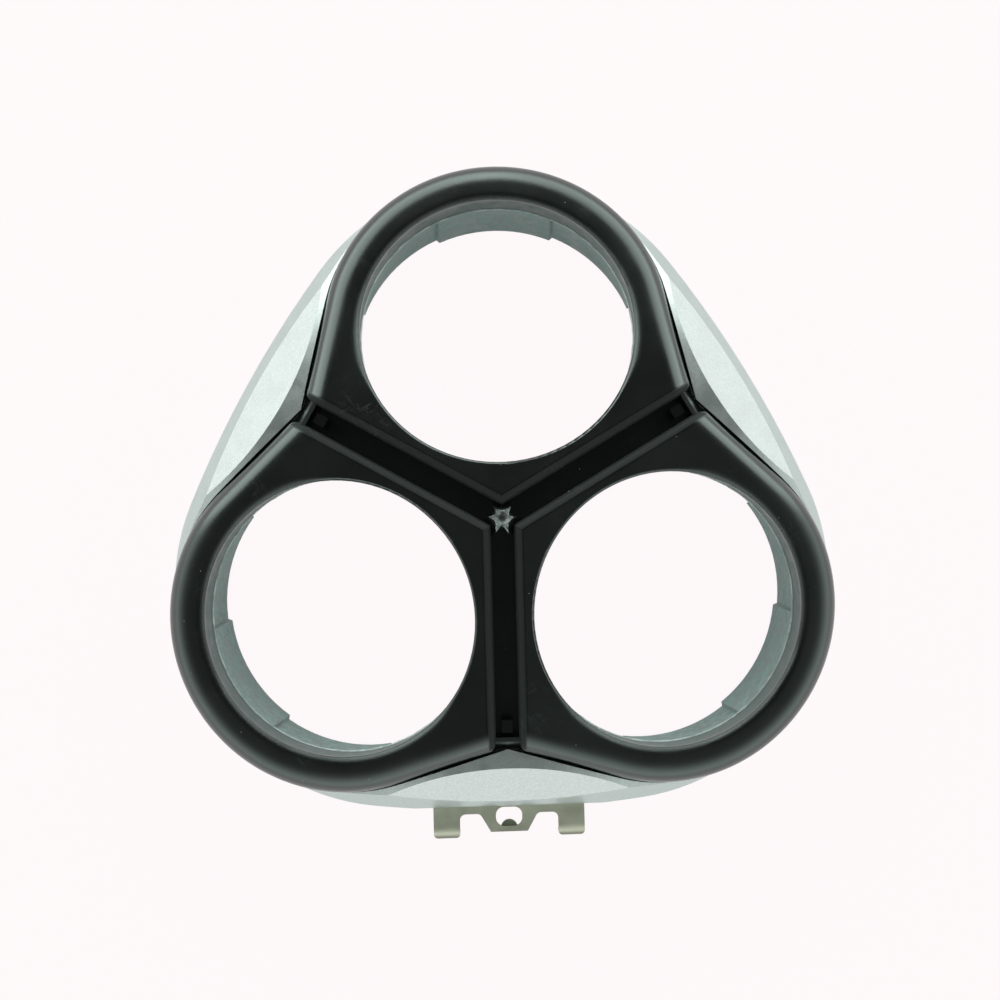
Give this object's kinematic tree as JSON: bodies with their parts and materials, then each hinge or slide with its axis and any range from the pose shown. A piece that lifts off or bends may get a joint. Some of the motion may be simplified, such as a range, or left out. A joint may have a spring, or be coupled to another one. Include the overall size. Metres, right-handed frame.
{
  "type": "shaver head frame",
  "caption": "Lobed head frame of a rotary shaver: tilted round windows hold the shaving heads, a deep branching groove parts them, and a painted shell with a steel hinge clip carries the frame.",
  "frame": {"origin": "where the threefold axis meets the plane of the base rim, which seats on the handle", "axes": "+Z along the threefold axis, out of the shaving side; -Y towards the hinge clip; +X to the right seen from the shaving side"},
  "size_m": [0.0658, 0.0672, 0.019],
  "materials": {
    "black_plastic": "satin moulded black, with light scratches",
    "silver_paint": "silver metallic paint with fine flake",
    "stamped_steel": "stamped sheet, dull and slightly worn"
  },
  "bodies": {
    "root": {"front_frame": "black_plastic", "outer_shell": "silver_paint", "hinge_plate": "stamped_steel"}
  },
  "joints": []
}
